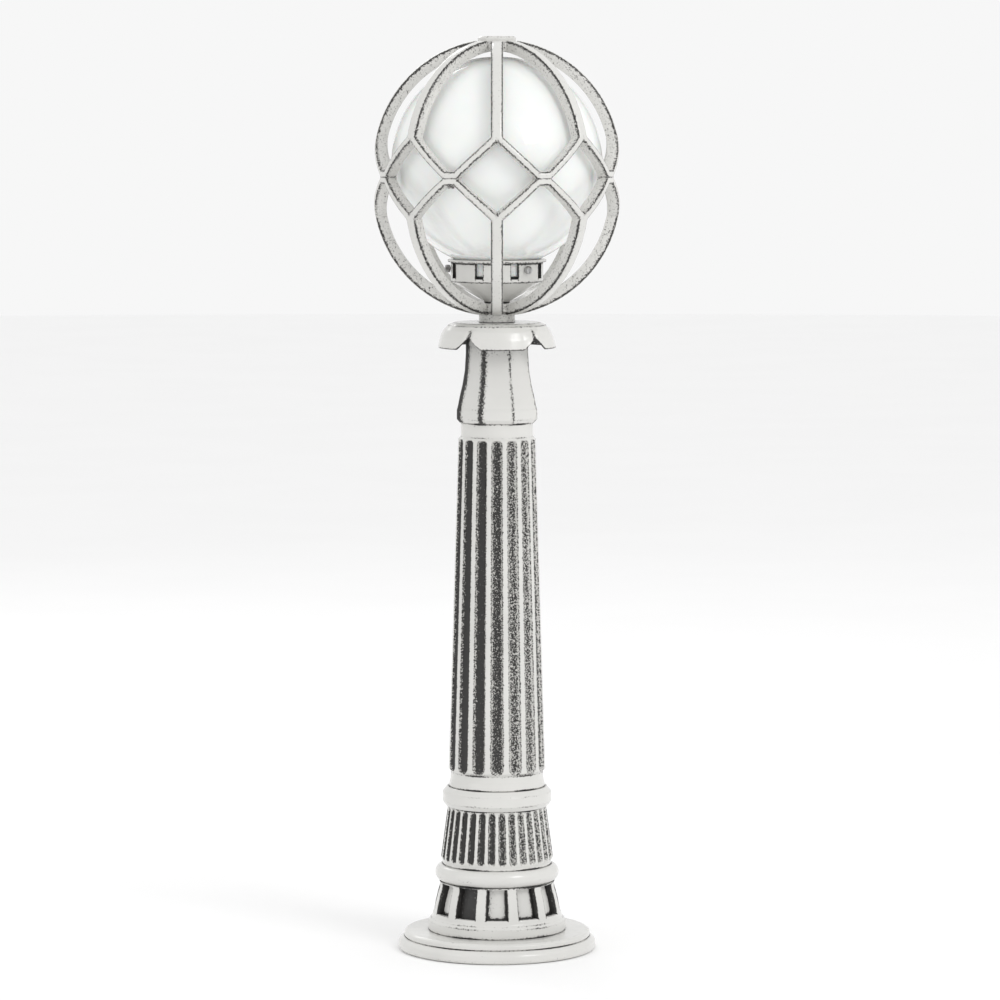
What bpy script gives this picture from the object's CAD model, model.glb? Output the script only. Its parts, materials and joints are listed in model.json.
"""Looks of a cast garden bollard lantern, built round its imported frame.

Laid out as an add-on: each operator makes one piece, or a group of like pieces, in its real place.
Profiles are in millimetres, as (radius, height, rounding). A bearing is an angle in degrees round the
column: 0 faces -Y, the front.
"""

import json
import math

import bmesh
import bpy
import numpy as np
from mathutils import Matrix, Vector
from mathutils.kdtree import KDTree


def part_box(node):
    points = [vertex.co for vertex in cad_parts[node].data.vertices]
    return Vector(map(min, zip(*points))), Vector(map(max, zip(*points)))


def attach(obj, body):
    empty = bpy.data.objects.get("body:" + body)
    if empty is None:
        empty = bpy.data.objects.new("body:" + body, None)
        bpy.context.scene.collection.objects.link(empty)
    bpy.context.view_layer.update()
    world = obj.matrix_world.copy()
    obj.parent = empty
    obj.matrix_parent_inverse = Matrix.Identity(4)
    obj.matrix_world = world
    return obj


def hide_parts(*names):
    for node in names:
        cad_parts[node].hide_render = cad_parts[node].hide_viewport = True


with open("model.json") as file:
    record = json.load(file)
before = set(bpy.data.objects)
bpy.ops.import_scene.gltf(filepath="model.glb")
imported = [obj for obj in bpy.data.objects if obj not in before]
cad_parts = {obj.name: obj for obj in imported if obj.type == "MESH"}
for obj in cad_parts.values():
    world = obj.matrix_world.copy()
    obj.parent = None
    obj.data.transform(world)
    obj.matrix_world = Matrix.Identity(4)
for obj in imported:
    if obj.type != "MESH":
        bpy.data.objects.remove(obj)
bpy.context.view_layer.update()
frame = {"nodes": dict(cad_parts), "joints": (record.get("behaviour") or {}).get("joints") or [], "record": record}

bl_info = {
    "name": "Bollard Lantern",
    "version": (1, 0, 0),
    "blender": (4, 5, 0),
    "location": "View3D > Sidebar > Lantern",
    "description": "Builds a cast bollard lantern with a caged opal globe",
    "category": "Add Mesh",
}

MM = 0.001
EQUATOR = frame["joints"][0]["pos_m"][2]
HINGE_BEARING = math.degrees(
    math.atan2(frame["joints"][0]["pos_m"][0], -frame["joints"][0]["pos_m"][1])
)


# Sizes, colours and the stage ------------------------------------------------------------------------

LENGTH = {"subtype": "DISTANCE", "unit": "LENGTH"}
LENGTHS = {"subtype": "XYZ_LENGTH", "unit": "LENGTH"}
SHARE = {"subtype": "FACTOR", "min": 0, "max": 1}


class LanternSizes(bpy.types.PropertyGroup):
    shaft_flutes: bpy.props.IntProperty(
        name="Shaft flutes", description="Flutes round the tapering shaft", default=16, min=4
    )
    shaft_flute_depth: bpy.props.FloatProperty(
        name="Shaft flute depth", description="How deep a flute is cut into the shaft",
        default=4.4 * MM, **LENGTH,
    )
    drum_flutes: bpy.props.IntProperty(
        name="Drum flutes", description="Narrow flutes round the drum", default=32, min=4
    )
    drum_flute_depth: bpy.props.FloatProperty(
        name="Drum flute depth", description="How deep a flute is cut into the drum",
        default=3.0 * MM, **LENGTH,
    )
    window_count: bpy.props.IntProperty(
        name="Windows", description="Blind windows round the pedestal", default=12, min=3
    )
    window_depth: bpy.props.FloatProperty(
        name="Window depth", description="How far a window is let into the pedestal",
        default=8.0 * MM, **LENGTH,
    )
    collar_lobes: bpy.props.IntProperty(
        name="Collar lobes", description="Lobes of the collar's hanging rim", default=5, min=3
    )
    collar_notch: bpy.props.FloatProperty(
        name="Collar notch", description="How far the rim rises between two lobes",
        default=15.5 * MM, **LENGTH,
    )
    ribs: bpy.props.IntProperty(
        name="Ribs", description="Ribs in each half of the ball cage", default=8, min=4
    )
    upper_arc: bpy.props.FloatVectorProperty(
        name="Upper arc",
        description="Outer radius of an upper rib, its centre's height and the diamond point's, above the seam",
        default=(146.2 * MM, 15.2 * MM, 42.0 * MM), **LENGTHS,
    )
    lower_arc: bpy.props.FloatVectorProperty(
        name="Lower arc",
        description="Outer radius of a lower rib, its centre's depth and the diamond point's, below the seam",
        default=(146.6 * MM, 19.5 * MM, 40.0 * MM), **LENGTHS,
    )
    rib_width: bpy.props.FloatProperty(
        name="Rib width", description="Width of a rib's outer face",
        default=14.9 * MM, **LENGTH,
    )
    rib_depth: bpy.props.FloatProperty(
        name="Rib depth", description="Depth of a rib towards the globe",
        default=13.6 * MM, **LENGTH,
    )
    rib_rounding: bpy.props.FloatProperty(
        name="Rib rounding", description="Rounding along the outer edges of the ribs and legs",
        default=4.2 * MM, **LENGTH,
    )


class LanternFinish(bpy.types.PropertyGroup):
    enamel: bpy.props.FloatVectorProperty(
        name="Enamel", description="Colour of the gloss paint", subtype="COLOR", default=(0.68, 0.675, 0.65)
    )
    patina: bpy.props.FloatVectorProperty(
        name="Patina",
        description="Dark colour left in the recesses and along worn edges",
        subtype="COLOR",
        default=(0.012, 0.011, 0.010),
    )
    opal: bpy.props.FloatVectorProperty(
        name="Opal", description="Colour of the globe's glass", subtype="COLOR", default=(0.90, 0.90, 0.885)
    )
    speckle: bpy.props.FloatProperty(
        name="Speckle", description="Share of dark speckle on open paint",
        default=0.10, **SHARE,
    )
    gloss: bpy.props.FloatProperty(
        name="Paint roughness", description="Roughness of clean paint",
        default=0.16, **SHARE,
    )


class LanternStage(bpy.types.PropertyGroup):
    camera_distance: bpy.props.FloatProperty(
        name="Camera distance", description="Level distance from the column's axis",
        default=5.716, **LENGTH,
    )
    camera_height: bpy.props.FloatProperty(
        name="Camera height", description="Height above the ground",
        default=1.0715, **LENGTH,
    )
    aim_height: bpy.props.FloatProperty(
        name="Aim height", description="Height on the axis that the camera looks at",
        default=0.5392, **LENGTH,
    )
    lens: bpy.props.FloatProperty(
        name="Lens", description="Focal length", default=173.6, subtype="DISTANCE_CAMERA", unit="CAMERA"
    )
    floor_colour: bpy.props.FloatVectorProperty(
        name="Floor", description="Colour of the plain floor", subtype="COLOR", default=(0.97, 0.97, 0.97)
    )


# Places ----------------------------------------------------------------------------------------------


def polar(radius, bearing, height):
    turn = math.radians(bearing)
    return Vector((radius * math.sin(turn), -radius * math.cos(turn), height))


def bearing_of(point):
    return math.degrees(math.atan2(point.x, -point.y))


def off_nearest(bearing, pitch, first=0):
    """How far a bearing is from the nearest of the places that repeat at the pitch from the first."""
    return (bearing - first + pitch / 2) % pitch - pitch / 2


def middle_of(node):
    low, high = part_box(node)
    return (low + high) / 2


def facing(radius, bearing, height):
    """The place of a piece whose own Z axis points straight out from the column at that bearing."""
    outward = polar(1, bearing, 0)
    along = Vector((0, 0, 1)).cross(outward)
    turn = Matrix((along, outward.cross(along), outward)).transposed()
    return Matrix.Translation(polar(radius, bearing, height)) @ turn.to_4x4()


def along_hinge():
    """The place of a hinge piece, whose own Z axis lies along the hinge's axis."""
    joint = frame["joints"][0]
    along = Vector(joint["axis"]).normalized()
    outward = polar(1, HINGE_BEARING, 0)
    turn = Matrix((outward, along.cross(outward), along)).transposed()
    return Matrix.Translation(Vector(joint["pos_m"])) @ turn.to_4x4()


# Outlines --------------------------------------------------------------------------------------------


def rounded(corners, closed=True, segments=5):
    """An outline in metres from corners (radius, height, rounding) in millimetres, each made an arc."""
    places = [Vector((corner[0], corner[1])) for corner in corners]
    outline = []
    for index, corner in enumerate(corners):
        here = places[index]
        size = corner[2] if len(corner) > 2 else 0
        at_end = not closed and index in (0, len(corners) - 1)
        if not size or at_end:
            outline.append(here)
            continue
        before = places[index - 1] - here
        after = places[(index + 1) % len(corners)] - here
        angle = before.angle(after)
        reach = min(size / math.tan(angle / 2), 0.48 * before.length, 0.48 * after.length)
        radius = reach * math.tan(angle / 2)
        bisector = (before.normalized() + after.normalized()).normalized()
        middle = here + bisector * radius / math.sin(angle / 2)
        first = here + before.normalized() * reach - middle
        last = here + after.normalized() * reach - middle
        sweep = first.angle_signed(last)
        for step in range(segments + 1):
            turn = -sweep * step / segments
            outline.append(middle + Matrix.Rotation(turn, 2) @ first)
    return [(point.x * MM, point.y * MM) for point in outline]


def divided(outline, spacing, closed=True):
    """The outline with extra points, so that no step is longer than the spacing, given in metres."""
    made = []
    following = outline[1:] + outline[:1] if closed else outline[1:]
    for (r0, z0), (r1, z1) in zip(outline, following):
        count = max(1, math.ceil(math.hypot(r1 - r0, z1 - z0) / spacing))
        made += [(r0 + (r1 - r0) * k / count, z0 + (z1 - z0) * k / count) for k in range(count)]
    return made if closed else made + [outline[-1]]


def turned(outline, steps, closed=True):
    """A bmesh of the outline turned once round the Z axis, with its faces pointing outwards."""
    shape = bmesh.new()
    points = [shape.verts.new((radius, 0, height)) for radius, height in outline]
    pairs = zip(points, points[1:] + points[:1] if closed else points[1:])
    edges = [shape.edges.new(pair) for pair in pairs]
    bmesh.ops.spin(
        shape,
        geom=points + edges,
        cent=(0, 0, 0),
        axis=(0, 0, 1),
        angle=math.tau,
        steps=steps,
        use_merge=True,
    )
    bmesh.ops.remove_doubles(shape, verts=shape.verts, dist=0.001 * MM)
    bmesh.ops.recalc_face_normals(shape, faces=shape.faces)
    return shape


def points_of(geometry):
    return [part for part in geometry if isinstance(part, bmesh.types.BMVert)]


def sliced(shape, *heights):
    """Cuts new level edges into the shape at each height."""
    for height in heights:
        whole = shape.verts[:] + shape.edges[:] + shape.faces[:]
        bmesh.ops.bisect_plane(
            shape, geom=whole, plane_co=(0, 0, height), plane_no=(0, 0, 1), dist=0.01 * MM
        )


def bevelled(shape, edges, offset, segments, clamp=True):
    bmesh.ops.bevel(
        shape, geom=edges, offset=offset, segments=segments, profile=0.5, affect="EDGES",
        material=-1, clamp_overlap=clamp,
    )


# Meshes, wear and pieces -----------------------------------------------------------------------------


def positions(mesh):
    flat = np.empty(len(mesh.vertices) * 3, np.float32)
    mesh.vertices.foreach_get("co", flat)
    return flat.reshape(-1, 3).astype(float)


def cylindrical(points):
    """Radius, bearing in degrees and height of each point."""
    bearing = np.degrees(np.arctan2(points[:, 0], -points[:, 1]))
    return np.hypot(points[:, 0], points[:, 1]), bearing, points[:, 2]


def put_back(mesh, radius, bearing, height):
    turn = np.radians(bearing)
    points = np.stack([radius * np.sin(turn), -radius * np.cos(turn), height], axis=1)
    mesh.vertices.foreach_set("co", points.astype(np.float32).ravel())
    mesh.update()


def to_mesh(shape, name):
    mesh = bpy.data.meshes.new(name)
    shape.to_mesh(mesh)
    shape.free()
    return mesh


def wear(mesh, amount):
    """Stores how dark the finish is at each point, from 0 for clean paint to 1 for solid patina."""
    layer = mesh.attributes.get("wear") or mesh.attributes.new("wear", "FLOAT", "POINT")
    layer.data.foreach_set("value", np.clip(amount, 0, 1).astype(np.float32))


def bell(distance, width):
    """1 at no distance, fading to either side over the width."""
    return np.exp(-((distance / width) ** 2))


def line_wear(radius, height, lines, width=1.3 * MM):
    """Wear along turned lines, each (radius, height, strength) in millimetres, that fades over the width."""
    amount = np.zeros(len(radius))
    for line_radius, line_height, strength in lines:
        far = np.hypot(radius - line_radius * MM, height - line_height * MM)
        amount = np.maximum(amount, strength * bell(far, width))
    return amount


def weather(bearing):
    """How heavy the patina lies round the column: least to the front right and most to the rear left."""
    return 0.62 - 0.36 * np.cos(np.radians(bearing - 48))


def patches(bearing):
    """Shares from 0.4 to 1 that break a turned line into darker and lighter stretches."""
    near = np.zeros(len(bearing))
    for middle in (-150, -92, -28, 38, 92, 165):
        near = np.maximum(near, bell(off_nearest(bearing, 360, middle), 14))
    return 0.4 + 0.6 * near


def piece(name, mesh, body, slot, node, degrees=32):
    """Puts a finished mesh in the scene, on its body and in place of the node, with the slot's finish."""
    mesh.shade_smooth()
    mesh.set_sharp_from_angle(angle=math.radians(degrees))
    made = bpy.data.objects.new(name, mesh)
    bpy.context.scene.collection.objects.link(made)
    mesh.materials.clear()
    mesh.materials.append(finishes()[slot])
    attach(made, body)
    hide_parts(node)


# Materials -------------------------------------------------------------------------------------------


class Nodes:
    """A small helper that adds and links shader nodes."""

    def __init__(self, name):
        self.material = bpy.data.materials.new(name)
        self.material.use_nodes = True
        self.tree = self.material.node_tree
        self.shader = self.tree.nodes["Principled BSDF"]

    def add(self, kind, settings=None, **inputs):
        node = self.tree.nodes.new(kind)
        for key, value in (settings or {}).items():
            setattr(node, key, value)
        for key, value in inputs.items():
            self.feed(node.inputs[key.replace("_", " ")], value)
        return node

    def feed(self, socket, value):
        if isinstance(value, bpy.types.NodeSocket):
            self.tree.links.new(value, socket)
        else:
            socket.default_value = value

    def noise(self, scale, detail=3.0, roughness=0.55):
        place = self.add("ShaderNodeTexCoord").outputs["Object"]
        node = self.add(
            "ShaderNodeTexNoise", Vector=place, Scale=scale, Detail=detail, Roughness=roughness
        )
        return node.outputs["Fac"]

    def ramp(self, value, low, high, to_low=0.0, to_high=1.0, smooth=True):
        settings = {"interpolation_type": "SMOOTHSTEP" if smooth else "LINEAR", "clamp": True}
        node = self.add("ShaderNodeMapRange", settings)
        for name, number in (
            ("Value", value),
            ("From Min", low),
            ("From Max", high),
            ("To Min", to_low),
            ("To Max", to_high),
        ):
            self.feed(node.inputs[name], number)
        return node.outputs["Result"]

    def maths(self, operation, first, second):
        node = self.add("ShaderNodeMath", {"operation": operation})
        self.feed(node.inputs[0], first)
        self.feed(node.inputs[1], second)
        return node.outputs[0]

    def mix(self, share, first, second):
        node = self.add("ShaderNodeMix", {"data_type": "RGBA"})
        self.feed(node.inputs[0], share)
        self.feed(node.inputs[6], first)
        self.feed(node.inputs[7], second)
        return node.outputs[2]

    def bump(self, height, distance, strength=1.0, under=None):
        node = self.add("ShaderNodeBump", Height=height, Distance=distance, Strength=strength)
        if under is not None:
            self.feed(node.inputs["Normal"], under)
        return node.outputs["Normal"]

    def surface(self, **inputs):
        for key, value in inputs.items():
            self.feed(self.shader.inputs[key.replace("_", " ")], value)
        return self.material


def rgba(colour, factor=1.0):
    return (*(channel * factor for channel in colour), 1)


def enamel_paint():
    """Gloss enamel with dark patina in its recesses, dark worn edges and a fine dark speckle."""
    finish = bpy.context.scene.lantern_finish
    nodes = Nodes("worn_enamel")
    worn = nodes.add("ShaderNodeAttribute", {"attribute_name": "wear"}).outputs["Fac"]
    grain = nodes.noise(520, 4.0, 0.62)
    fleck = nodes.noise(1500, 2.0, 0.5)
    blend = nodes.maths("ADD", nodes.maths("MULTIPLY", grain, 0.72), nodes.maths("MULTIPLY", fleck, 0.28))
    swing = nodes.maths("MULTIPLY", nodes.maths("SUBTRACT", blend, 0.5), 2.4)
    level = nodes.maths("ADD", nodes.maths("ADD", worn, finish.speckle), swing)
    dark = nodes.ramp(level, 0.50, 0.62)
    tone = nodes.ramp(nodes.noise(9, 4.0), 0.35, 0.7)
    paint = nodes.mix(tone, rgba(finish.enamel), rgba(finish.enamel, 0.93))
    stain = nodes.ramp(nodes.maths("ADD", worn, nodes.maths("MULTIPLY", grain, 0.5)), 0.35, 1.0, 0.0, 0.45)
    soiled = nodes.mix(stain, paint, (0.33, 0.31, 0.28, 1))
    colour = nodes.mix(dark, soiled, rgba(finish.patina))
    rough = nodes.ramp(nodes.noise(60, 3.0), 0.3, 0.7, finish.gloss, finish.gloss + 0.1)
    rough = nodes.ramp(dark, 0.0, 1.0, rough, 0.62, smooth=False)
    peel = nodes.bump(nodes.noise(260, 2.0), 0.00006)
    chipped = nodes.bump(nodes.maths("SUBTRACT", 1.0, dark), 0.00012, 0.8, peel)
    return nodes.surface(
        Base_Color=colour, Roughness=rough, Normal=chipped, Coat_Weight=0.35, Coat_Roughness=0.08
    )


def opal_glass():
    """Flashed opal glass: milky, glossy, faintly uneven, with dust settled low on the globe."""
    finish = bpy.context.scene.lantern_finish
    nodes = Nodes("opal_glass")
    height = nodes.add(
        "ShaderNodeSeparateXYZ", Vector=nodes.add("ShaderNodeTexCoord").outputs["Object"]
    ).outputs["Z"]
    low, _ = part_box("globe")
    dust = nodes.ramp(height, low.z, low.z + 0.05, 0.35, 0.0)
    dust = nodes.maths("MULTIPLY", dust, nodes.ramp(nodes.noise(180, 4.0), 0.3, 0.7))
    cloud = nodes.ramp(nodes.noise(14, 3.0), 0.35, 0.65)
    milk = nodes.mix(cloud, rgba(finish.opal), rgba(finish.opal, 0.97))
    colour = nodes.mix(dust, milk, (0.42, 0.41, 0.38, 1))
    rough = nodes.ramp(nodes.noise(32, 4.0), 0.35, 0.7, 0.05, 0.11)
    ripple = nodes.bump(nodes.noise(24, 2.0), 0.0002, 0.5)
    return nodes.surface(
        Base_Color=colour,
        Roughness=rough,
        Normal=ripple,
        Subsurface_Weight=0.15,
        Subsurface_Scale=0.01,
        Coat_Weight=0.5,
        Coat_Roughness=0.03,
    )


def metal(name, colour, roughness, dull, scale=700):
    """A plain metal with fine tool marks and dull patches."""
    nodes = Nodes(name)
    marks = nodes.noise(scale, 3.0, 0.6)
    patches = nodes.ramp(nodes.noise(90, 4.0), 0.45, 0.7)
    tinted = nodes.mix(patches, rgba(colour), rgba(dull))
    rough = nodes.ramp(nodes.maths("ADD", patches, marks), 0.2, 1.6, roughness, roughness + 0.3)
    return nodes.surface(
        Base_Color=tinted, Roughness=rough, Metallic=1.0, Normal=nodes.bump(marks, 0.00003, 0.7)
    )


def moulded(name, colour, roughness, scale=400, coat=0.0):
    """A moulded or glazed material with a faint grain and mottling."""
    nodes = Nodes(name)
    grain = nodes.noise(scale, 3.0)
    mottled = nodes.ramp(nodes.noise(40, 4.0), 0.3, 0.7)
    tinted = nodes.mix(mottled, rgba(colour), rgba(colour, 0.82))
    rough = nodes.ramp(grain, 0.3, 0.7, roughness, min(1.0, roughness + 0.15))
    return nodes.surface(
        Base_Color=tinted, Roughness=rough, Normal=nodes.bump(grain, 0.00004, 0.6), Coat_Weight=coat
    )


def finishes():
    """Every finish by the name of its slot, made once."""
    names = {
        "paint": "worn_enamel", "opal": "opal_glass", "steel": "stainless", "zinc": "zinc_plate",
        "brass": "plain_brass", "rubber": "black_rubber", "nylon": "grey_nylon",
        "porcelain": "porcelain_glaze", "lamp_glass": "frosted_lamp",
    }
    if names["paint"] not in bpy.data.materials:
        enamel_paint()
        opal_glass()
        metal(names["steel"], (0.50, 0.50, 0.50), 0.24, (0.20, 0.19, 0.18))
        metal(names["zinc"], (0.52, 0.54, 0.56), 0.38, (0.33, 0.34, 0.35), 240)
        metal(names["brass"], (0.72, 0.50, 0.20), 0.26, (0.40, 0.27, 0.10))
        moulded(names["rubber"], (0.025, 0.025, 0.025), 0.7, 900)
        moulded(names["nylon"], (0.40, 0.41, 0.42), 0.45, 700)
        moulded(names["porcelain"], (0.86, 0.85, 0.81), 0.12, 120, 0.4)
        moulded(names["lamp_glass"], (0.92, 0.91, 0.87), 0.35, 300)
    return {slot: bpy.data.materials[name] for slot, name in names.items()}


# Column ----------------------------------------------------------------------------------------------


def casting(name, node, outline, steps, lines, spacing=3 * MM):
    """A turned casting with wear along its lines."""
    mesh = to_mesh(turned(divided(outline, spacing), steps), name)
    radius, bearing, height = cylindrical(positions(mesh))
    wear(mesh, line_wear(radius, height, lines) * patches(bearing))
    piece(name, mesh, "column", "paint", node)


class LANTERN_OT_foot(bpy.types.Operator):
    """Make the stepped round foot"""

    bl_idname = "lantern.foot"
    bl_label = "Foot"

    def execute(self, context):
        corners = [
            (60.0, 23.2, 0.5), (107.8, 23.2, 1.0), (110.9, 21.2, 1.6), (111.1, 16.6, 0.6),
            (110.0, 16.0, 0.3), (110.0, 15.4, 0.3), (112.8, 14.9, 1.2), (117.9, 10.6, 5.0),
            (117.9, 1.6, 5.0), (113.6, 0.0, 0.8), (90.5, 0.0, 0.5), (90.5, 6.6, 0.5), (60.0, 6.6, 0.5),
        ]
        lines = [
            (81.8, 23.2, 1.0), (110.0, 15.7, 1.0), (108.6, 22.8, 0.35), (114.0, 0.0, 0.9),
            (117.9, 3.0, 0.25),
        ]
        casting("foot_casting", "foot", rounded(corners), 160, lines)
        return {"FINISHED"}


class LANTERN_OT_pedestal(bpy.types.Operator):
    """Make the flared pedestal with its ring of blind windows"""

    bl_idname = "lantern.pedestal"
    bl_label = "Pedestal"

    def execute(self, context):
        sizes = context.scene.lantern_sizes
        corners = [
            (54.0, 82.4, 0.5), (68.9, 82.4, 0.4), (69.3, 76.0, 8.0), (71.8, 67.8, 30.0), (74.7, 55.9, 30.0),
            (76.5, 45.2, 12.0), (77.5, 40.1, 3.0), (81.9, 35.1, 1.4), (82.2, 24.4, 1.0), (81.4, 23.5, 0.3),
            (63.0, 23.5, 0.5), (55.0, 61.1, 20.0),
        ]
        sill, head = 44.9 * MM, 80.9 * MM
        per_window = 24
        shape = turned(divided(rounded(corners), 2.6 * MM), sizes.window_count * per_window)
        sliced(shape, sill, head)
        pitch = 360 / sizes.window_count
        half = pitch / 3
        panes = []
        for face in shape.faces:
            centre = face.calc_center_median()
            off = off_nearest(bearing_of(centre), pitch)
            outside = math.hypot(centre.x, centre.y) > 62 * MM
            if outside and abs(off) < half and sill < centre.z < head:
                panes.append(face)
        rim = [e for e in {e for f in panes for e in f.edges} if sum(f in panes for f in e.link_faces) == 1]
        made = bmesh.ops.extrude_face_region(shape, geom=panes)["geom"]
        bmesh.ops.delete(shape, geom=panes, context="FACES_ONLY")
        for point in points_of(made):
            radius = math.hypot(point.co.x, point.co.y)
            point.co.xy *= (radius - sizes.window_depth) / radius
        bmesh.ops.recalc_face_normals(shape, faces=shape.faces)
        bevelled(shape, [edge for edge in rim if edge.is_valid], 0.9 * MM, 2)
        mesh = to_mesh(shape, "pedestal_casting")
        radius, bearing, height = cylindrical(positions(mesh))
        skin = np.interp(height, [44 * MM, 56 * MM, 68 * MM, 81 * MM], [0.0764, 0.0747, 0.0718, 0.0689])
        sunk = np.where((height > 43 * MM) & (radius > 58 * MM), (skin - radius) / sizes.window_depth, 0)
        off = np.abs(off_nearest(bearing, pitch))
        edge = bell(off - half, 0.8) * (height > sill - 1 * MM) * (height < 82 * MM)
        lines = [(78.9, 38.0, 0.55), (82.0, 23.7, 1.0), (82.0, 34.7, 0.5), (68.9, 82.3, 1.0)]
        amount = line_wear(radius, height, lines) * patches(bearing)
        wall = bell(off - half, 2.4) + bell(height - sill, 2.8 * MM)
        open_pane = 0.06 + 0.8 * bell(bearing + 30, 18)
        pane = np.maximum(np.clip(0.9 * wall, 0, 1), open_pane)
        amount = np.maximum(amount, pane * np.clip(sunk * 1.6, 0, 1))
        wear(mesh, np.maximum(amount, 0.7 * edge))
        piece("pedestal_casting", mesh, "column", "paint", "pedestal")
        return {"FINISHED"}


class LANTERN_OT_mouldings(bpy.types.Operator):
    """Make the half-round ring and the chamfered ring"""

    bl_idname = "lantern.mouldings"
    bl_label = "Mouldings"

    def execute(self, context):
        half_round = [
            (52.0, 102.5, 0.5), (73.9, 102.5, 9.4), (73.9, 82.8, 9.4), (52.0, 82.8, 0.5),
        ]
        lines = [(64.7, 102.5, 1.0), (69.0, 83.1, 1.0), (73.8, 89.9, 0.22)]
        casting("lower_moulding", "lower_ring", rounded(half_round, segments=12), 160, lines, 2 * MM)
        chamfered = [
            (44.0, 196.4, 0.5), (59.6, 196.4, 1.4), (64.8, 190.0, 2.6), (64.8, 178.7, 2.6),
            (60.6, 172.9, 1.0), (44.0, 172.9, 0.5),
        ]
        lines = [(57.7, 196.4, 0.9), (59.2, 173.0, 1.0), (64.5, 190.2, 0.32), (64.5, 178.5, 0.45)]
        casting("upper_moulding", "upper_ring", rounded(chamfered), 160, lines, 2 * MM)
        return {"FINISHED"}


def fluted(mesh, count, first, half, depth, low, high, outside, lines):
    """Sinks rounded flutes with round ends into a turned mesh, from the first bearing, and darkens them."""
    radius, bearing, height = cylindrical(positions(mesh))
    off = off_nearest(bearing, 360 / count, first)
    reach = np.radians(half) * radius
    across = np.radians(off) * radius
    past = np.maximum(np.maximum(low + reach - height, height - (high - reach)), 0)
    share = np.hypot(across, past) / np.maximum(reach, 1e-6)
    cut = np.sqrt(np.clip(1 - share**2, 0, 1)) * (radius > outside)
    put_back(mesh, radius - depth * cut, bearing, height)
    rim = bell(share - 1.0, 0.16) * (radius > outside)
    inside = np.clip(cut * 1.15, 0, 1)
    side = np.clip(0.5 + 0.5 * across / np.maximum(reach, 1e-6), 0, 1)
    filled = inside * (0.07 + 1.3 * weather(bearing) + 0.18 * side)
    amount = line_wear(radius, height, lines) * patches(bearing)
    wear(mesh, np.maximum.reduce([amount, 0.5 * rim, filled]))


class LANTERN_OT_drum(bpy.types.Operator):
    """Make the short drum with its narrow flutes"""

    bl_idname = "lantern.drum"
    bl_label = "Drum"

    def execute(self, context):
        sizes = context.scene.lantern_sizes
        corners = [
            (50.0, 172.5, 0.5), (58.7, 172.5, 0.5), (66.9, 111.3, 2.5), (64.8, 105.8, 1.5),
            (64.8, 102.8, 0.4), (50.0, 102.8, 0.5),
        ]
        outline = divided(rounded(corners), 1.6 * MM)
        mesh = to_mesh(turned(outline, sizes.drum_flutes * 12), "drum_casting")
        lines = [(64.8, 103.1, 1.0), (58.7, 172.2, 0.9)]
        count, depth = sizes.drum_flutes, sizes.drum_flute_depth
        fluted(mesh, count, 180 / count, 3.75, depth, 109 * MM, 170.8 * MM, 53 * MM, lines)
        piece("drum_casting", mesh, "column", "paint", "drum", 28)
        return {"FINISHED"}


class LANTERN_OT_shaft(bpy.types.Operator):
    """Make the tapering fluted shaft"""

    bl_idname = "lantern.shaft"
    bl_label = "Shaft"

    def execute(self, context):
        sizes = context.scene.lantern_sizes
        upper = [
            (33.0, 655.3, 0.5), (37.5, 655.3, 0.5), (37.5, 632.3, 0.3), (42.9, 632.3, 0.5),
            (42.9, 615.9, 2.0), (46.5, 611.7, 2.0), (46.9, 595.2, 1.0),
        ]
        lower = [
            (57.5, 240.0, 1.0), (58.0, 217.9, 1.6), (55.1, 214.4, 1.6), (55.6, 205.8, 6.0),
            (57.6, 197.6, 0.6), (56.8, 196.7, 0.3), (46.0, 196.7, 0.5), (46.0, 228.9, 4.0),
            (33.0, 607.3, 4.0),
        ]
        outline = rounded(upper + lower)
        spans = []
        for (r0, z0), (r1, z1) in zip(outline, outline[1:] + outline[:1]):
            plain = min(z0, z1) > 239 * MM and max(z0, z1) < 596 * MM
            inner = max(r0, r1) < 46.01 * MM and abs(z0 - z1) > 0.1
            spacing = 60 * MM if inner else 8 * MM if plain else 1.2 * MM
            spans += divided([(r0, z0), (r1, z1)], spacing, closed=False)[:-1]
        mesh = to_mesh(turned(spans, sizes.shaft_flutes * 24), "shaft_casting")
        lines = [
            (42.9, 632.1, 1.0), (43.0, 615.7, 0.5), (56.6, 216.0, 0.5), (55.1, 214.2, 0.8),
            (57.4, 197.1, 1.0),
        ]
        depth = sizes.shaft_flute_depth
        fluted(mesh, sizes.shaft_flutes, 0, 7.5, depth, 216.5 * MM, 613.8 * MM, 45.7 * MM, lines)
        piece("shaft_casting", mesh, "column", "paint", "shaft", 28)
        return {"FINISHED"}


def grub_screw():
    """A socket grub screw along +Z, with its outer end at z = 0."""
    shape = bmesh.new()
    depth = 9.3 * MM
    bmesh.ops.create_cone(
        shape, cap_ends=True, segments=36, radius1=3.0 * MM, radius2=3.0 * MM, depth=depth
    )
    bmesh.ops.translate(shape, vec=(0, 0, -depth / 2), verts=shape.verts)
    rings = [edge for face in shape.faces if len(face.verts) > 4 for edge in face.edges]
    bevelled(shape, rings, 0.4 * MM, 2, clamp=False)
    top = max(shape.faces, key=lambda face: (face.calc_center_median().z, len(face.verts)))
    bmesh.ops.inset_region(shape, faces=[top], thickness=0.9 * MM)
    side = math.radians(60)
    for point in top.verts:
        turn = math.atan2(point.co.y, point.co.x) % side - side / 2
        point.co.xy = point.co.xy.normalized() * 1.5 * MM / math.cos(turn)
    made = bmesh.ops.extrude_face_region(shape, geom=[top])["geom"]
    bmesh.ops.delete(shape, geom=[top], context="FACES_ONLY")
    bmesh.ops.translate(shape, vec=(0, 0, -2.2 * MM), verts=points_of(made))
    bmesh.ops.recalc_face_normals(shape, faces=shape.faces)
    return shape


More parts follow.
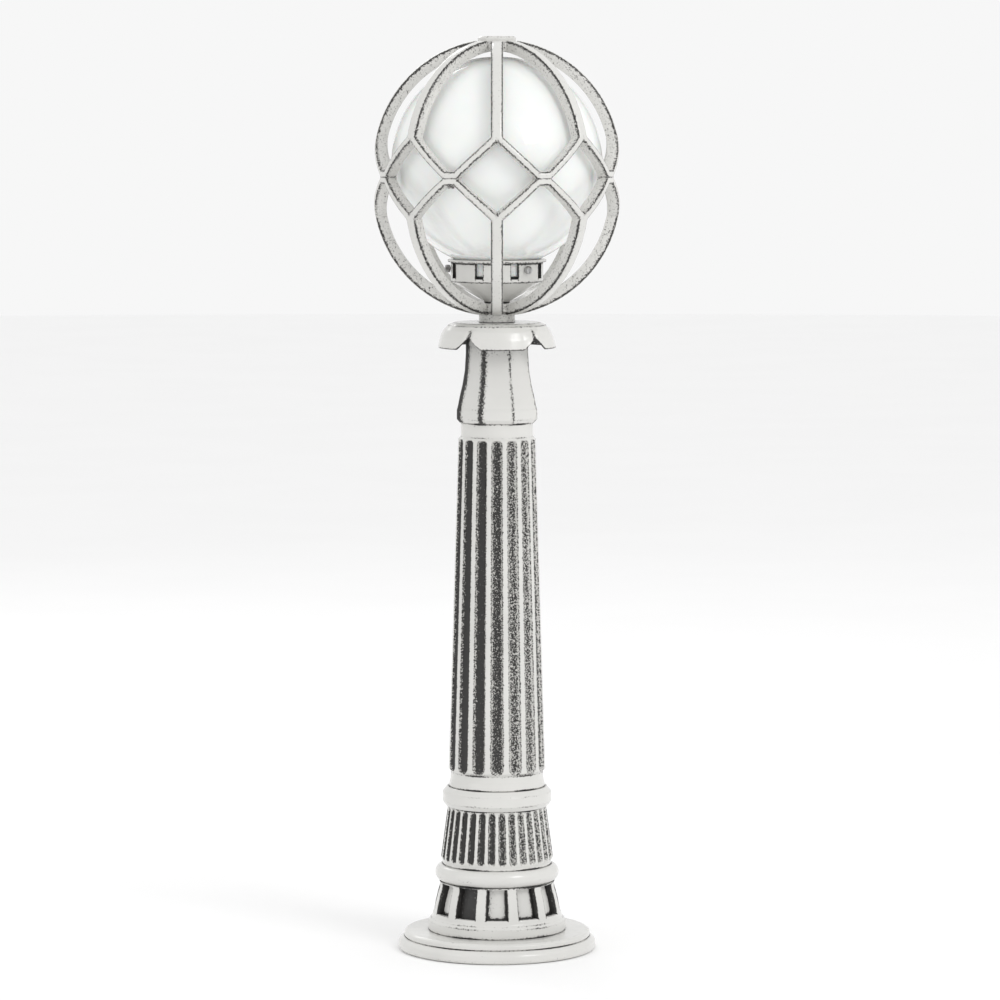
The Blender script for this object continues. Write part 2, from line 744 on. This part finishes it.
class LANTERN_OT_neck(bpy.types.Operator):
    """Make the eight-sided neck and its grub screws"""

    bl_idname = "lantern.neck"
    bl_label = "Neck"

    def execute(self, context):
        flats = [
            (31.0, 744.9, 0.5), (36.9, 744.9, 0.5), (36.9, 715.3, 14.0), (38.1, 694.3, 30.0),
            (40.9, 677.3, 30.0), (44.2, 663.3, 30.0), (46.6, 650.9, 3.0), (47.6, 647.9, 1.5),
            (47.6, 637.3, 1.4), (43.6, 632.6, 0.6), (38.4, 632.6, 0.5), (38.4, 658.3, 3.0),
            (33.5, 679.3, 20.0), (31.0, 712.3, 20.0),
        ]
        corner = math.cos(math.pi / 8)
        outline = [(radius / corner, height) for radius, height in divided(rounded(flats), 2.6 * MM)]
        shape = turned(outline, 8)
        bmesh.ops.rotate(shape, matrix=Matrix.Rotation(math.radians(22.5), 3, "Z"), verts=shape.verts)
        upright = []
        for edge in shape.edges:
            angles = [math.atan2(point.co.y, point.co.x) for point in edge.verts]
            radii = [math.hypot(point.co.x, point.co.y) for point in edge.verts]
            if abs(angles[0] - angles[1]) < 0.01 and min(radii) > 39 * MM / corner:
                upright.append(edge)
            elif abs(angles[0] - angles[1]) < 0.01 and min(point.co.z for point in edge.verts) > 0.667:
                if min(radii) > 36 * MM / corner:
                    upright.append(edge)
        bevelled(shape, upright, 1.1 * MM, 3)
        low_flat = [edge for edge in shape.edges if edge.calc_length() > 10 * MM]
        bmesh.ops.subdivide_edges(shape, edges=low_flat, cuts=11, use_grid_fill=True)
        bmesh.ops.recalc_face_normals(shape, faces=shape.faces)
        mesh = to_mesh(shape, "neck_casting")
        radius, bearing, height = cylindrical(positions(mesh))
        off = np.abs(off_nearest(bearing, 45))
        across = np.radians(22.5 - off) * radius
        outside = (radius > 36.2 * MM) & (height > 633 * MM)
        heavy = weather(bearing) - 0.26
        edge = bell(across, (1.5 + 12 * heavy) * MM) * (0.5 + heavy) * outside
        around = radius * np.cos(np.radians(off))
        lines = [(43.6, 632.7, 0.8), (47.5, 637.1, 0.4), (46.9, 649.3, 0.25)]
        amount = np.maximum(line_wear(around, height, lines) * patches(bearing), edge)
        shade = bell(height - 721 * MM, 14 * MM) * 0.22 * outside
        wear(mesh, np.maximum(amount, shade))
        piece("neck_casting", mesh, "column", "paint", "neck", 20)
        for index in (1, 2, 3):
            centre = middle_of(f"neck_screw_{index}")
            shape = grub_screw()
            place = facing(47.2 * MM, bearing_of(centre), centre.z)
            bmesh.ops.transform(shape, matrix=place, verts=shape.verts)
            mesh = to_mesh(shape, f"neck_grub_{index}")
            piece(f"neck_grub_{index}", mesh, "column", "steel", f"neck_screw_{index}")
        return {"FINISHED"}


class LANTERN_OT_collar(bpy.types.Operator):
    """Make the domed collar with its hanging lobes"""

    bl_idname = "lantern.collar"
    bl_label = "Collar"

    def execute(self, context):
        sizes = context.scene.lantern_sizes
        corners = [
            (8.4, 751.3, 0.3), (50.0, 751.3, 2.0), (57.5, 748.9, 5.0), (63.0, 742.1, 8.0),
            (66.6, 733.3, 12.0), (69.0, 721.1, 0.9), (66.6, 721.1, 0.9), (63.0, 734.8, 8.0),
            (58.0, 741.9, 5.0), (52.0, 745.3, 2.0), (8.4, 745.3, 0.3),
        ]
        mesh = to_mesh(turned(divided(rounded(corners), 1.6 * MM), 360), "collar_casting")
        radius, bearing, height = cylindrical(positions(mesh))
        pitch = 360 / sizes.collar_lobes
        off = np.abs(off_nearest(bearing, pitch, 6))
        gap = np.clip((off - 0.6 * pitch / 2) / (0.4 * pitch / 2), 0, 1)
        hang = np.clip((745.3 * MM - height) / (24.2 * MM), 0, 1) * (radius > 56 * MM)
        raised = height + sizes.collar_notch * gap**1.2 * hang
        crease = bell(off - pitch / 2, 3.2)
        tuck = crease * np.clip((749.3 * MM - height) / (20 * MM), 0, 1) * (radius > 54 * MM)
        belly = np.cos(np.radians(off) * sizes.collar_lobes / 2) * hang
        put_back(mesh, radius - 3.4 * MM * tuck + 1.2 * MM * belly, bearing, raised)
        lines = [(21.4, 751.3, 1.0), (51.0, 751.3, 0.55), (58.0, 748.3, 0.45)]
        amount = line_wear(radius, height, lines, 1.6 * MM)
        amount = np.maximum(amount, 0.8 * bell(height - 721.1 * MM, 1.5 * MM))
        amount = np.maximum(amount, 0.55 * crease * np.clip((747.3 * MM - height) / (8 * MM), 0, 1))
        skirt = np.interp(height, [0.7211, 0.7348, 0.7419, 0.7453], [0.0670, 0.0640, 0.0590, 0.053])
        wear(mesh, np.where((radius < skirt) & (height < 750.3 * MM), 0.7, amount))
        piece("collar_casting", mesh, "column", "paint", "collar", 40)
        return {"FINISHED"}


# Ball cage -------------------------------------------------------------------------------------------


def arc_radius(half, climb):
    return math.sqrt(max(0, half[0] ** 2 - (climb - half[1]) ** 2))


def sector(sizes, half):
    """Faces of half a sector, as corners (degrees from the rib's middle, height from the seam)."""
    radius, lift, apex = half

    def spread(climb):
        return math.degrees(sizes.rib_width / 2 / arc_radius(half, climb))

    shoulder, lug = 49 * MM, 8.4 * MM
    side, lug_side, middle = 18.3, 20.4, 180 / sizes.ribs
    legs = 6
    inner = [(side * (1 - k / legs), apex * k / legs) for k in range(legs + 1)]
    edge = spread(shoulder)
    outer = [
        (lug_side + (edge - lug_side) * k / legs, lug + (shoulder - lug) * k / legs) for k in range(legs + 1)
    ]
    faces = [[inner[0], (middle, 0), (middle, lug), outer[0]]]
    faces += [[inner[k], outer[k], outer[k + 1], inner[k + 1]] for k in range(legs)]
    first = math.asin((shoulder - lift) / radius)
    last = math.acos(20 * MM / radius)
    rows = 14
    rungs = [[inner[-1], outer[-1]]]
    for row in range(1, rows + 1):
        climb = lift + radius * math.sin(first + (last - first) * row / rows)
        rungs.append([(0, climb), (spread(climb), climb)])
    faces += [[low[0], low[1], high[1], high[0]] for low, high in zip(rungs, rungs[1:])]
    return faces


def rim_tree(shape):
    """A search tree of points along the sheet's open edges, apart from those on the seam."""
    rim = []
    for edge in (edge for edge in shape.edges if edge.is_boundary):
        first, last = (point.co for point in edge.verts)
        if max(abs(first.z - EQUATOR), abs(last.z - EQUATOR)) > 0.1 * MM:
            rim += [first.lerp(last, k / 4) for k in range(5)]
    tree = KDTree(len(rim))
    for index, point in enumerate(rim):
        tree.insert(point, index)
    tree.balance()
    return tree


def lattice(sizes, half, up):
    """Half of the ball cage as a closed bmesh, with the outer edges of its ribs and legs rounded."""
    radius, lift, _ = half
    shape = bmesh.new()
    for face in sector(sizes, half):
        shape.faces.new([shape.verts.new((offset, climb, 0)) for offset, climb in face])
    bmesh.ops.remove_doubles(shape, verts=shape.verts, dist=0.001 * MM)
    bmesh.ops.subdivide_edges(shape, edges=shape.edges, cuts=5, use_grid_fill=True)
    copy = bmesh.ops.duplicate(shape, geom=shape.faces[:] + shape.edges[:] + shape.verts[:])
    for point in points_of(copy["geom"]):
        point.co.x *= -1
    bmesh.ops.remove_doubles(shape, verts=shape.verts, dist=0.001 * MM)
    whole = shape.faces[:] + shape.edges[:] + shape.verts[:]
    step = 360 / sizes.ribs
    for rib in range(1, sizes.ribs):
        copy = bmesh.ops.duplicate(shape, geom=whole)
        for point in points_of(copy["geom"]):
            point.co.x += rib * step
    for point in shape.verts:
        point.co = polar(arc_radius(half, point.co.y), point.co.x, EQUATOR + up * point.co.y)
    bmesh.ops.remove_doubles(shape, verts=shape.verts, dist=0.01 * MM)
    centre = Vector((0, 0, EQUATOR + up * lift))
    sheet = shape.verts[:]
    tree = rim_tree(shape)
    made = bmesh.ops.extrude_face_region(shape, geom=shape.faces[:], use_keep_orig=True)["geom"]
    inward = (radius - sizes.rib_depth) / radius
    for point in points_of(made):
        point.co = centre + (point.co - centre) * inward
        if abs(point.co.z - EQUATOR) < 2.2 * MM:
            point.co.z = EQUATOR + up * 0.15 * MM
    size = sizes.rib_rounding
    for point in sheet:
        short = size - min(size, tree.find(point.co)[2])
        point.co -= (point.co - centre).normalized() * (size - math.sqrt(size**2 - short**2))
        if abs(point.co.z - EQUATOR) < 1.2 * MM:
            point.co.z = EQUATOR + up * 0.15 * MM
    bmesh.ops.recalc_face_normals(shape, faces=shape.faces)
    return shape


def cage_wear(mesh, half, up):
    """Dark lines along the ribs' rounded edges, and darker sides and backs than faces."""
    points = positions(mesh)
    away = points - np.array([0, 0, EQUATOR + up * half[1]])
    distance = np.linalg.norm(away, axis=1)
    normals = np.empty(len(points) * 3, np.float32)
    mesh.vertices.foreach_get("normal", normals)
    lean = (normals.reshape(-1, 3) * away).sum(1) / np.maximum(distance, 1e-6)
    rounded_edge = bell(lean - 0.58, 0.3)
    side = np.clip(1 - np.abs(lean) * 1.6, 0, 1)
    back = (lean < -0.6) * 0.22
    seam = bell(points[:, 2] - EQUATOR, 0.7 * MM)
    wear(mesh, np.maximum.reduce([0.78 * rounded_edge, 0.36 * side, back, 0.45 * seam]))


def helper(shape, name, place=None):
    """A hidden mesh that a Boolean modifier reads."""
    if place is not None:
        bmesh.ops.transform(shape, matrix=place, verts=shape.verts)
    made = bpy.data.objects.new(name, to_mesh(shape, name))
    bpy.context.scene.collection.objects.link(made)
    return made


def rod(radius, low, high, segments=32):
    shape = bmesh.new()
    bmesh.ops.create_cone(
        shape, cap_ends=True, segments=segments, radius1=radius, radius2=radius, depth=high - low
    )
    bmesh.ops.translate(shape, vec=(0, 0, (low + high) / 2), verts=shape.verts)
    return shape


def drilled(name, radius, low, high, place, segments=32):
    """A Boolean step that takes a rod's shape away."""
    return ("DIFFERENCE", helper(rod(radius, low, high, segments), name, place))


def brick(size, centre):
    shape = bmesh.new()
    bmesh.ops.create_cube(shape, size=1)
    bmesh.ops.scale(shape, vec=size, verts=shape.verts)
    bmesh.ops.translate(shape, vec=centre, verts=shape.verts)
    return shape


def carved(mesh, steps):
    """The mesh after Boolean steps, each (operation, helper object). The helpers are removed."""
    base = bpy.data.objects.new("base", mesh)
    bpy.context.scene.collection.objects.link(base)
    for operation, other in steps:
        modifier = base.modifiers.new(other.name, "BOOLEAN")
        modifier.operation = operation
        modifier.object = other
        modifier.solver = "EXACT"
    bpy.context.view_layer.update()
    graph = bpy.context.evaluated_depsgraph_get()
    made = bpy.data.meshes.new_from_object(base.evaluated_get(graph))
    for thing in [base] + [other for _, other in steps]:
        bpy.data.objects.remove(thing)
    return made


def eased(shape, sharper, offset, segments):
    """Bevels the edges whose faces meet at more than the angle, in degrees."""
    limit = math.radians(sharper)
    edges = [edge for edge in shape.edges if len(edge.link_faces) == 2 and edge.calc_face_angle() > limit]
    bevelled(shape, edges, offset, segments)
    return shape


class LANTERN_OT_cage(bpy.types.Operator):
    """Make both halves of the ball cage, with their hub, hinge and cap"""

    bl_idname = "lantern.cage"
    bl_label = "Ball cage"

    def execute(self, context):
        sizes = context.scene.lantern_sizes
        self.lower(sizes)
        self.upper(sizes)
        self.fittings()
        return {"FINISHED"}

    def knuckle(self, name, low, high, arm):
        """A hinge knuckle with its arm, as two joining helpers."""
        tall, length = 7.4 * MM, 9 * MM
        centre = (-length / 2, -arm * (tall / 2 + 0.6 * MM), (low + high) / 2)
        block = brick((length, tall, high - low), centre)
        return [
            ("UNION", helper(rod(5.5 * MM, low, high), name, along_hinge())),
            ("UNION", helper(block, name + "_arm", along_hinge())),
        ]

    def closing_place(self):
        centre = middle_of("cage_screw")
        return Matrix.Translation((centre.x, centre.y, 0))

    def lower(self, sizes):
        half = sizes.lower_arc
        mesh = to_mesh(lattice(sizes, half, -1), "cage_lower_half")
        hub = [
            (8.4, 773.7, 0.3), (23.4, 773.7, 2.0), (24.6, 764.3, 1.5), (21.4, 761.7, 1.2),
            (21.4, 751.6, 0.4), (8.4, 751.6, 0.3),
        ]
        face = EQUATOR - 8.4 * MM
        hinge, closing = along_hinge(), self.closing_place()
        steps = [("UNION", helper(turned(rounded(hub), 72), "hub"))]
        steps.append(drilled("clear", 5.9 * MM, -4.0 * MM, 4.0 * MM, hinge))
        steps += self.knuckle("left", 4.0 * MM, 9.0 * MM, -1)
        steps += self.knuckle("right", -9.0 * MM, -4.0 * MM, -1)
        steps.append(drilled("pin", 2.4 * MM, -0.02, 0.02, hinge, 24))
        steps.append(drilled("hole", 2.4 * MM, 0.9, EQUATOR + 5 * MM, closing, 24))
        steps.append(drilled("seat", 4.6 * MM, face - 10 * MM, face, closing))
        mesh = carved(mesh, steps)
        cage_wear(mesh, half, -1)
        piece("cage_lower_half", mesh, "column", "paint", "lower_cage", 34)

    def upper(self, sizes):
        half = sizes.upper_arc
        shape = lattice(sizes, half, 1)
        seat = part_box("cage_cap")[0].z - 0.3 * MM
        for point in shape.verts:
            if math.hypot(point.co.x, point.co.y) < 24.5 * MM:
                point.co.z = min(point.co.z, seat)
        mesh = to_mesh(shape, "cage_upper_half")
        hub = [(4.4, 1081.6, 0.3), (24.4, 1081.6, 1.0), (24.4, 1070.7, 2.0), (4.4, 1070.7, 0.3)]
        steps = [("UNION", helper(turned(rounded(hub), 72), "hub"))]
        for low, high in ((3.7, 9.6), (-9.6, -3.7)):
            steps.append(drilled(f"clear_{low}", 5.9 * MM, low * MM, high * MM, along_hinge()))
        steps += self.knuckle("middle", -3.7 * MM, 3.7 * MM, 1)
        steps.append(drilled("pin", 2.4 * MM, -0.02, 0.02, along_hinge(), 24))
        steps.append(drilled("hole", 2.5 * MM, 0.91, EQUATOR + 7 * MM, self.closing_place(), 24))
        mesh = carved(mesh, steps)
        cage_wear(mesh, half, 1)
        piece("cage_upper_half", mesh, "cage_lid", "paint", "upper_cage", 34)

    def fittings(self):
        cap = [
            (0.0, 1089.0), (20.4, 1089.0, 1.6), (22.6, 1086.8, 1.8), (22.6, 1081.9, 0.4),
            (3.3, 1081.9, 0.2), (3.3, 1086.6, 0.2), (0.0, 1086.6),
        ]
        outline = divided(rounded(cap, closed=False), 2 * MM, closed=False)
        mesh = to_mesh(turned(outline, 96, closed=False), "cap_disc")
        radius, _, height = cylindrical(positions(mesh))
        wear(mesh, line_wear(radius, height, [(22.6, 1082.1, 0.3), (21.6, 1088.1, 0.45)]))
        piece("cap_disc", mesh, "cage_lid", "paint", "cage_cap")
        half = 9.5 * MM
        shape = eased(rod(2.2 * MM, -half, half), 60, 0.6 * MM, 3)
        bmesh.ops.transform(shape, matrix=along_hinge(), verts=shape.verts)
        mesh = to_mesh(shape, "hinge_rivet")
        piece("hinge_rivet", mesh, "column", "steel", "hinge_pin")
        low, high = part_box("cage_screw")
        under = low.z / MM
        shank = [
            (0.0, high.z / MM), (1.4, high.z / MM, 0.2), (2.0, high.z / MM - 0.8, 0.2),
            (2.0, under + 3.0, 0.2), (4.0, under + 3.0, 0.5), (4.0, under, 0.9), (0.0, under),
        ]
        mesh = to_mesh(turned(rounded(shank, closed=False), 40, closed=False), "closing_bolt")
        slot = brick((1.0 * MM, 10 * MM, 2.4 * MM), (0, 0, low.z))
        mesh = carved(mesh, [("DIFFERENCE", helper(slot, "slot"))])
        mesh.transform(self.closing_place())
        piece("closing_bolt", mesh, "closing_screw", "steel", "cage_screw")


# Cup, globe and lamp ---------------------------------------------------------------------------------


class LANTERN_OT_cup(bpy.types.Operator):
    """Make the slotted cup that holds the globe"""

    bl_idname = "lantern.cup"
    bl_label = "Cup"

    def execute(self, context):
        corners = [
            (51.6, 826.3, 0.3), (58.4, 826.3, 1.2), (58.4, 822.9, 1.2), (54.8, 822.5, 0.8),
            (54.8, 800.5, 1.6), (52.4, 798.7, 1.2), (15.6, 776.1, 2.0), (15.0, 774.0, 0.3),
            (8.4, 774.0, 0.3), (8.4, 780.9, 0.3), (18.0, 780.9, 2.0), (43.0, 797.3, 2.0),
            (43.0, 803.5, 0.3), (51.6, 803.5, 0.3),
        ]
        slots, per_slot = 8, 36
        shape = turned(divided(rounded(corners), 2.4 * MM), slots * per_slot)
        low, high = 803.9 * MM, 821.9 * MM
        sliced(shape, low, high)
        pitch = 360 / slots
        doomed = {index: [] for index in range(slots)}
        for face in shape.faces:
            centre = face.calc_center_median()
            bearing = bearing_of(centre) % 360
            off = bearing % pitch - pitch / 2
            if abs(off) < 5 and low < centre.z < high and math.hypot(centre.x, centre.y) > 50 * MM:
                doomed[int(bearing // pitch)].append(face)
        for faces in doomed.values():
            gone = set(faces)
            rim = [e for f in faces for e in f.edges if sum(g in gone for g in e.link_faces) == 1]
            bmesh.ops.delete(shape, geom=faces, context="FACES")
            bmesh.ops.bridge_loops(shape, edges=[edge for edge in rim if edge.is_valid])
        bmesh.ops.recalc_face_normals(shape, faces=shape.faces)
        mesh = to_mesh(shape, "globe_cup")
        radius, bearing, height = cylindrical(positions(mesh))
        off = np.abs(bearing % pitch - pitch / 2)
        slot = (height > low - 0.5 * MM) & (height < high + 0.5 * MM) & (radius > 50 * MM)
        edge = bell(off - 5, 1.1) * slot
        lines = [(54.8, 822.6, 1.0), (54.0, 799.7, 0.7), (15.4, 774.5, 1.0), (58.4, 823.1, 0.5)]
        amount = np.maximum(line_wear(radius, height, lines, 1.6 * MM), 0.8 * edge)
        within = (radius < 52 * MM) & (height > 803.3 * MM)
        wear(mesh, np.where(within, 0.75, amount))
        piece("globe_cup", mesh, "column", "paint", "gallery")
        return {"FINISHED"}


class LANTERN_OT_globe(bpy.types.Operator):
    """Make the opal globe and the thumb screws that grip it"""

    bl_idname = "lantern.globe"
    bl_label = "Globe"

    def execute(self, context):
        low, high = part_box("globe")
        radius = (high.x - low.x) / 2 * 1.005
        centre = high.z - radius
        lip, neck, wall = low.z, 50.5 * MM, 4 * MM
        steps = 72

        def arc(size, end):
            angles = [math.radians(90 - (90 + end) * k / steps) for k in range(steps + 1)]
            return [(size * math.cos(angle), centre + size * math.sin(angle)) for angle in angles]

        outer = arc(radius, math.degrees(math.acos((neck + 2 * MM) / radius)))
        inner = arc(radius - wall, math.degrees(math.acos((neck - wall + 2 * MM) / (radius - wall))))
        outer[0], inner[0] = (0, radius + centre), (0, radius - wall + centre)
        swell = [(neck + 0.3 * MM, outer[-1][1] - 3 * MM), (neck, outer[-1][1] - 6 * MM)]
        end = [
            (neck, lip + 1.2 * MM), (neck - 1.2 * MM, lip), (neck - wall + 1.2 * MM, lip),
            (neck - wall, lip + 1.2 * MM),
        ]
        throat = [(neck - wall, inner[-1][1] - 5 * MM), (neck - wall + 0.5 * MM, inner[-1][1] - 2 * MM)]
        outline = outer + swell + end + throat + inner[::-1]
        mesh = to_mesh(turned(outline, 144, closed=False), "globe_glass")
        piece("globe_glass", mesh, "column", "opal", "globe", 45)
        for index in (1, 2, 3):
            self.thumb_screw(index)
        return {"FINISHED"}

    def thumb_screw(self, index):
        """A knurled thumb screw along its own +Z axis, which points away from the column."""
        name = f"thumb_screw_{index}"
        centre = middle_of(f"globe_screw_{index}")
        profile = [
            (0.0, 61.4), (3.6, 61.4, 0.3), (4.5, 60.4, 0.3), (4.5, 56.4, 0.3), (3.8, 55.4, 0.3),
            (2.1, 55.3, 0.2), (2.1, 51.8, 0.2), (1.2, 51.0, 0.2), (0.0, 51.0),
        ]
        mesh = to_mesh(turned(rounded(profile, closed=False), 72, closed=False), name)
        radius, turn, height = cylindrical(positions(mesh))
        ridge = (np.round(turn / 5) % 2 == 0) & (radius > 4.3 * MM)
        put_back(mesh, radius - 0.28 * MM * ridge, turn, height)
        slot = helper(brick((1.0 * MM, 12 * MM, 3 * MM), (0, 0, 61.4 * MM)), "slot")
        mesh = carved(mesh, [("DIFFERENCE", slot)])
        mesh.transform(facing(0, bearing_of(centre), centre.z))
        piece(name, mesh, f"globe_grip_{index}", "steel", f"globe_screw_{index}")


class LANTERN_OT_lamp(bpy.types.Operator):
    """Make the lamp, its screw cap and the porcelain holder"""

    bl_idname = "lantern.lamp"
    bl_label = "Lamp"

    def execute(self, context):
        low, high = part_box("lamp")
        radius = (high.x - low.x) / 2
        centre = high.z - 30 * MM
        bulb = []
        for step in range(25):
            angle = math.radians(90 - 138 * step / 24)
            bulb.append((radius * math.cos(angle), centre + radius * math.sin(angle)))
        bulb[0] = (0, high.z)
        stem = [(0.0149, 0.8633), (0.0140, 0.8553), (0.0134, 0.8458)]
        thread = [
            (13.3 * MM - 0.5 * MM * (k % 4 in (1, 2)), 843.8 * MM - k * 0.9 * MM) for k in range(28)
        ]
        foot = [(0.0110, 0.8168), (0.0080, 0.8135), (0.0042, 0.8128), (0.0040, low.z), (0, low.z)]
        mesh = to_mesh(turned(bulb + stem + thread + foot, 72, closed=False), "lamp_bulb")
        piece("lamp_bulb", mesh, "bulb", "lamp_glass", "lamp", 40)
        mesh.materials.append(finishes()["brass"])
        for face in mesh.polygons:
            face.material_index = 1 if face.center.z < 0.8453 else 0
        corners = [
            (14.2, 839.2, 0.6), (19.0, 839.2, 1.6), (20.5, 836.2, 1.5), (20.5, 808.3, 3.0),
            (17.0, 801.3, 3.0), (12.0, 791.3, 1.0), (8.4, 791.3, 0.3), (8.4, 795.7, 0.3), (3.2, 795.7, 0.3),
            (3.2, 809.3, 0.3), (14.2, 809.3, 0.6),
        ]
        mesh = to_mesh(turned(rounded(corners), 72), "porcelain_holder")
        piece("porcelain_holder", mesh, "column", "porcelain", "lamp_holder")
        return {"FINISHED"}


class LANTERN_OT_inner_parts(bpy.types.Operator):
    """Give the fixing plate, tube, wiring and other hidden parts their finishes"""

    bl_idname = "lantern.inner_parts"
    bl_label = "Inner parts"

    def execute(self, context):
        slots = {part["node"]: part["material_slot"] for part in frame["record"]["subparts"]}
        for name in (
            "fixing_plate", "tie_tube", "lower_tube_nut", "upper_tube_nut", "tube_washer", "terminal_block",
            "cable_gland", "earth_screw", "lamp_lead", "globe_gasket", "cap_screw",
        ):
            node = frame["nodes"][name]
            node.data.materials.clear()
            node.data.materials.append(finishes()[slots[name]])
        return {"FINISHED"}


class LANTERN_OT_stage(bpy.types.Operator):
    """Set out the pale floor, the soft lights and the camera"""

    bl_idname = "lantern.stage"
    bl_label = "Stage"

    def execute(self, context):
        scene = context.scene
        stage = scene.lantern_stage
        shape = bmesh.new()
        bmesh.ops.create_circle(shape, cap_ends=True, segments=96, radius=14)
        floor = bpy.data.objects.new("floor", to_mesh(shape, "floor"))
        scene.collection.objects.link(floor)
        nodes = Nodes("floor_paint")
        tone = nodes.ramp(nodes.noise(2.5, 3.0), 0.3, 0.7)
        colour = nodes.mix(tone, rgba(stage.floor_colour), rgba(stage.floor_colour, 0.99))
        floor.data.materials.append(nodes.surface(Base_Color=colour, Roughness=0.9))
        world = bpy.data.worlds.new("studio")
        world.use_nodes = True
        world.node_tree.nodes["Background"].inputs["Color"].default_value = (1, 1, 1, 1)
        world.node_tree.nodes["Background"].inputs["Strength"].default_value = 0.93
        scene.world = world
        self.light("key", (2.6, -2.8, 3.2), 1.6, 48)
        self.light("fill", (-3.2, -2.4, 1.6), 1.8, 6)
        self.light("rim", (-1.2, 3.0, 2.6), 1.4, 12)
        camera = bpy.data.objects.new("camera", bpy.data.cameras.new("camera"))
        camera.data.lens = stage.lens
        camera.data.sensor_width = 36
        camera.location = (0, -stage.camera_distance, stage.camera_height)
        aim = Vector((0.0036, 0, stage.aim_height)) - camera.location
        camera.rotation_euler = aim.to_track_quat("-Z", "Y").to_euler()
        scene.collection.objects.link(camera)
        scene.camera = camera
        scene.view_settings.view_transform = "Standard"
        return {"FINISHED"}

    def light(self, name, place, size, power):
        lamp = bpy.data.lights.new(name, "AREA")
        lamp.size = size
        lamp.energy = power
        made = bpy.data.objects.new(name, lamp)
        made.location = place
        made.rotation_euler = (Vector((0, 0, 0.6)) - Vector(place)).to_track_quat("-Z", "Y").to_euler()
        bpy.context.scene.collection.objects.link(made)


OPERATORS = (
    LANTERN_OT_stage, LANTERN_OT_foot, LANTERN_OT_pedestal, LANTERN_OT_mouldings, LANTERN_OT_drum,
    LANTERN_OT_shaft, LANTERN_OT_neck, LANTERN_OT_collar, LANTERN_OT_cage, LANTERN_OT_cup,
    LANTERN_OT_globe, LANTERN_OT_lamp, LANTERN_OT_inner_parts,
)


class LANTERN_PT_panel(bpy.types.Panel):
    """Buttons and sizes for the lantern"""

    bl_idname = "LANTERN_PT_panel"
    bl_label = "Lantern"
    bl_space_type = "VIEW_3D"
    bl_region_type = "UI"
    bl_category = "Lantern"

    def draw(self, context):
        for operator in OPERATORS:
            self.layout.operator(operator.bl_idname)
        for group in (getattr(context.scene, name) for name in GROUPS):
            box = self.layout.box()
            for name in group.__annotations__:
                box.prop(group, name)


GROUPS = {"lantern_sizes": LanternSizes, "lantern_finish": LanternFinish, "lantern_stage": LanternStage}


def register():
    for group in GROUPS.values():
        bpy.utils.register_class(group)
    for thing in (*OPERATORS, LANTERN_PT_panel):
        bpy.utils.register_class(thing)
    for name, group in GROUPS.items():
        setattr(bpy.types.Scene, name, bpy.props.PointerProperty(type=group))


def unregister():
    for name in GROUPS:
        delattr(bpy.types.Scene, name)
    for thing in (LANTERN_PT_panel, *reversed(OPERATORS), *GROUPS.values()):
        bpy.utils.unregister_class(thing)


def main():
    register()
    for operator in OPERATORS:
        family, name = operator.bl_idname.split(".")
        getattr(getattr(bpy.ops, family), name)()


if __name__ == "__main__":
    main()
